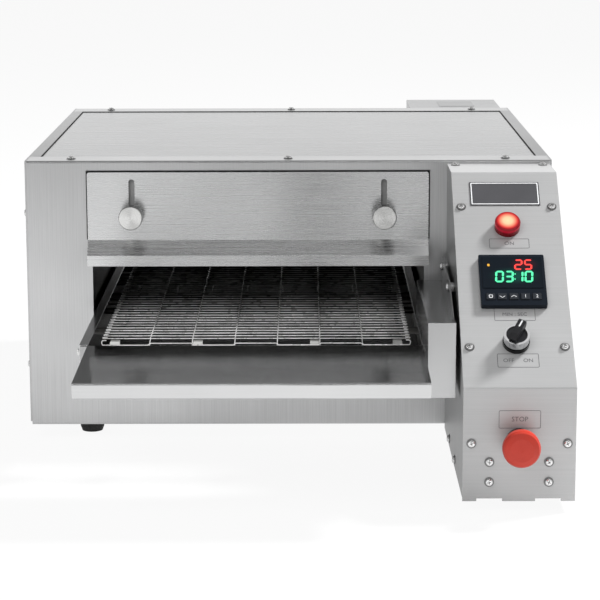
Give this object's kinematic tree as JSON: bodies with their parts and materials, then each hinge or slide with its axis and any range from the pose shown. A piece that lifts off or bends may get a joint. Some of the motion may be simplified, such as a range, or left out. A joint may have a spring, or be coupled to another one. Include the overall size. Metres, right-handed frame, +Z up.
{
  "type": "conveyor oven",
  "caption": "Tabletop conveyor oven: stainless cabinet with a wire belt through its tunnel, adjustable gates, drop trays, a chain drive and a sloping control console.",
  "frame": {"origin": "on the table, under the middle of the overall box, which is the middle of the cabinet", "axes": "+X to the right seen from the front, +Y to the back along the belt, +Z up; the front faces -Y"},
  "size_m": [0.6268, 1.3228, 0.3409],
  "materials": {
    "stainless": "brushed",
    "polished_steel": "polished",
    "belt_wire": "drawn wire",
    "dark_steel": "heat-stained",
    "turned_aluminium": "turned",
    "cast_aluminium": "cast",
    "pale_plastic": "satin",
    "rubber": "matt",
    "black_plastic": "satin",
    "grey_plastic": "satin",
    "display": "gloss",
    "red_plastic": "satin",
    "red_lens": "gloss",
    "plate_grey": "satin",
    "brass_contact": "satin",
    "wool": "fibrous"
  },
  "bodies": {
    "chassis": {"front_panel": "stainless", "rear_panel": "stainless", "left_side_panel": "stainless", "right_side_panel": "stainless", "top_panel": "stainless", "bottom_pan": "stainless", "left_rail": "stainless", "right_rail": "stainless", "front_tray": "stainless", "rear_tray": "stainless", "drive_guard": "stainless", "control_panel": "stainless", "control_housing": "stainless", "rear_box": "stainless", "motor_plate": "stainless", "cabinet_screws": "polished_steel", "panel_screws": "polished_steel", "tray_bolts": "polished_steel", "gate_studs": "polished_steel", "belt_support_rods": "polished_steel", "temperature_probe": "polished_steel", "conveyor_belt": "belt_wire", "chamber_liner": "dark_steel", "upper_heaters": "dark_steel", "lower_heaters": "dark_steel", "drive_chain": "dark_steel", "gear_motor": "cast_aluminium", "rubber_feet": "rubber", "controller_case": "black_plastic", "selector_bezel": "black_plastic", "estop_base": "black_plastic", "lamp_base": "black_plastic", "cable_gland": "black_plastic", "contactor": "grey_plastic", "terminal_block": "grey_plastic", "controller_window": "display", "lamp_lens": "red_lens", "name_plate": "plate_grey", "shaft_bushes": "brass_contact", "insulation": "wool"},
    "drive_train": {"drive_shaft": "polished_steel", "drive_sprockets": "pale_plastic", "chain_wheel": "dark_steel"},
    "idler_train": {"idler_shaft": "polished_steel", "idler_sprockets": "pale_plastic"},
    "motor_output": {"motor_sprocket": "dark_steel"},
    "front_gate_slide": {"front_gate": "stainless"},
    "front_left_clamp": {"front_left_knob": "turned_aluminium"},
    "front_right_clamp": {"front_right_knob": "turned_aluminium"},
    "rear_gate_slide": {"rear_gate": "stainless"},
    "rear_left_clamp": {"rear_left_knob": "turned_aluminium"},
    "rear_right_clamp": {"rear_right_knob": "turned_aluminium"},
    "selector": {"selector_knob": "black_plastic"},
    "stop_plunger": {"estop_stem": "polished_steel"},
    "stop_head": {"estop_head": "red_plastic"},
    "key_1": {"controller_key_1": "black_plastic"},
    "key_2": {"controller_key_2": "black_plastic"},
    "key_3": {"controller_key_3": "black_plastic"},
    "key_4": {"controller_key_4": "black_plastic"},
    "key_5": {"controller_key_5": "black_plastic"}
  },
  "joints": [
    {"name": "drive_shaft_spin", "type": "hinge", "parent": "chassis", "child": "drive_train", "pos_m": [-0.0355, -0.434, 0.13], "axis": [1, 0, 0], "continuous": true},
    {"name": "idler_shaft_spin", "type": "hinge", "parent": "chassis", "child": "idler_train", "pos_m": [-0.0355, 0.434, 0.13], "axis": [1, 0, 0], "continuous": true},
    {"name": "motor_sprocket_spin", "type": "hinge", "parent": "chassis", "child": "motor_output", "pos_m": [0.16725, -0.372, 0.15], "axis": [1, 0, 0], "continuous": true},
    {"name": "front_gate_lower", "type": "slide", "parent": "chassis", "child": "front_gate_slide", "axis": [0, 0, -1], "range_m": [0, 0.0195]},
    {"name": "front_left_knob_turn", "type": "hinge", "parent": "chassis", "child": "front_left_clamp", "pos_m": [-0.184, -0.318, 0.2737], "axis": [0, -1, 0], "continuous": true},
    {"name": "front_right_knob_turn", "type": "hinge", "parent": "chassis", "child": "front_right_clamp", "pos_m": [0.113, -0.318, 0.2737], "axis": [0, -1, 0], "continuous": true},
    {"name": "rear_gate_lower", "type": "slide", "parent": "chassis", "child": "rear_gate_slide", "axis": [0, 0, -1], "range_m": [0, 0.038]},
    {"name": "rear_left_knob_turn", "type": "hinge", "parent": "chassis", "child": "rear_left_clamp", "pos_m": [-0.184, 0.318, 0.2737], "axis": [0, 1, 0], "continuous": true},
    {"name": "rear_right_knob_turn", "type": "hinge", "parent": "chassis", "child": "rear_right_clamp", "pos_m": [0.113, 0.318, 0.2737], "axis": [0, 1, 0], "continuous": true},
    {"name": "selector_turn", "type": "hinge", "parent": "chassis", "child": "selector", "pos_m": [0.246, -0.56645, 0.17393], "axis": [0, -0.6409, 0.7676], "range_deg": [0, 80]},
    {"name": "stop_press", "type": "slide", "parent": "chassis", "child": "stop_plunger", "axis": [0, 1, 0], "range_m": [0, 0.005]},
    {"name": "stop_twist", "type": "hinge", "parent": "stop_plunger", "child": "stop_head", "pos_m": [0.246, -0.6426, 0.078], "axis": [0, 1, 0], "range_deg": [0, 45], "stiffness_Nm_per_rad": 0.02},
    {"name": "key_1_press", "type": "slide", "parent": "chassis", "child": "key_1", "axis": [0, 0.6409, -0.7676], "range_m": [0, 0.0005], "stiffness_N_per_m": 600},
    {"name": "key_2_press", "type": "slide", "parent": "chassis", "child": "key_2", "axis": [0, 0.6409, -0.7676], "range_m": [0, 0.0005], "stiffness_N_per_m": 600},
    {"name": "key_3_press", "type": "slide", "parent": "chassis", "child": "key_3", "axis": [0, 0.6409, -0.7676], "range_m": [0, 0.0005], "stiffness_N_per_m": 600},
    {"name": "key_4_press", "type": "slide", "parent": "chassis", "child": "key_4", "axis": [0, 0.6409, -0.7676], "range_m": [0, 0.0005], "stiffness_N_per_m": 600},
    {"name": "key_5_press", "type": "slide", "parent": "chassis", "child": "key_5", "axis": [0, 0.6409, -0.7676], "range_m": [0, 0.0005], "stiffness_N_per_m": 600}
  ],
  "couplings": [
    {"joint": "idler_shaft_spin", "follows": "drive_shaft_spin", "ratio": 1},
    {"joint": "motor_sprocket_spin", "follows": "drive_shaft_spin", "ratio": 1.2}
  ]
}
